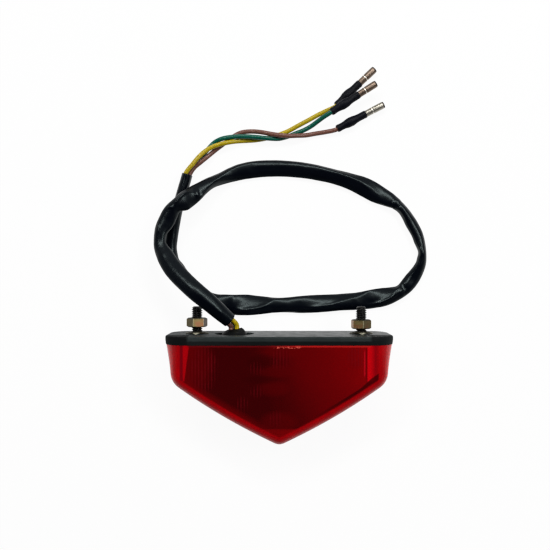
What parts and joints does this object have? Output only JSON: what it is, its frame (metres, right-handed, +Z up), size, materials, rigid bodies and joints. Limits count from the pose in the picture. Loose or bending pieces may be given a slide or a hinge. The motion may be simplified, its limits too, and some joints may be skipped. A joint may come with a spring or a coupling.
{
  "type": "tail light",
  "caption": "V-shaped red LED tail light under a black mounting base with threaded studs and nuts, with a sleeved wire lead that ends in bullet terminals.",
  "frame": {"origin": "centre of the footprint of the housing as it lies on its back, midway between the tip of the V and the ends of the studs, on the surface it lies on", "axes": "+X along the line of the studs, +Y the way the studs point, +Z up from the back of the lens to its front face"},
  "size_m": [0.1546, 0.2085, 0.04],
  "materials": {
    "base_black": "moulded black plastic with a soft sheen",
    "lens_red": "clear deep red acrylic, polished outside",
    "seal_rubber": "soft black sealing strip",
    "bolt_black": "black oxide steel",
    "zinc_yellow": "yellow passivated zinc on spring steel",
    "nut_zinc": "yellow passivated zinc on steel",
    "grommet_rubber": "matte black rubber",
    "board_laminate": "pale solder mask on glass laminate",
    "led_red": "diffused red epoxy",
    "led_clear": "water-clear epoxy",
    "resistor_blue": "lacquered film resistor",
    "diode_black": "moulded black epoxy",
    "screw_steel": "bright zinc",
    "wire_yellow": "glossy PVC insulation",
    "wire_green": "glossy PVC insulation",
    "wire_brown": "glossy PVC insulation",
    "sleeve_black": "soft black PVC tube with a satin sheen",
    "boot_black": "matte black vinyl",
    "tinned_brass": "tin plated brass"
  },
  "bodies": {
    "housing": {"mounting_base": "base_black", "lens": "lens_red", "lens_seal": "seal_rubber", "left_stud_bolt": "bolt_black", "right_stud_bolt": "bolt_black", "left_spring_washer": "zinc_yellow", "right_spring_washer": "zinc_yellow", "wire_grommet": "grommet_rubber", "led_board": "board_laminate", "tail_leds": "led_red", "brake_leds": "led_clear", "resistors": "resistor_blue", "diodes": "diode_black", "board_screws": "screw_steel", "yellow_feed_wire": "wire_yellow", "green_feed_wire": "wire_green", "brown_feed_wire": "wire_brown", "cable_sleeve": "sleeve_black", "yellow_tail_wire": "wire_yellow", "green_tail_wire": "wire_green", "brown_tail_wire": "wire_brown", "yellow_boot": "boot_black", "green_boot": "boot_black", "brown_boot": "boot_black", "yellow_bullet": "tinned_brass", "green_bullet": "tinned_brass", "brown_bullet": "tinned_brass"},
    "left_nut": {"left_nut": "nut_zinc"},
    "right_nut": {"right_nut": "nut_zinc"}
  },
  "joints": [
    {"name": "left_nut_travel", "type": "slide", "parent": "housing", "child": "left_nut", "axis": [0, 1, 0], "range_m": [-0.00235, 0.0062]},
    {"name": "right_nut_travel", "type": "slide", "parent": "housing", "child": "right_nut", "axis": [0, 1, 0], "range_m": [-0.00135, 0.0072]}
  ]
}
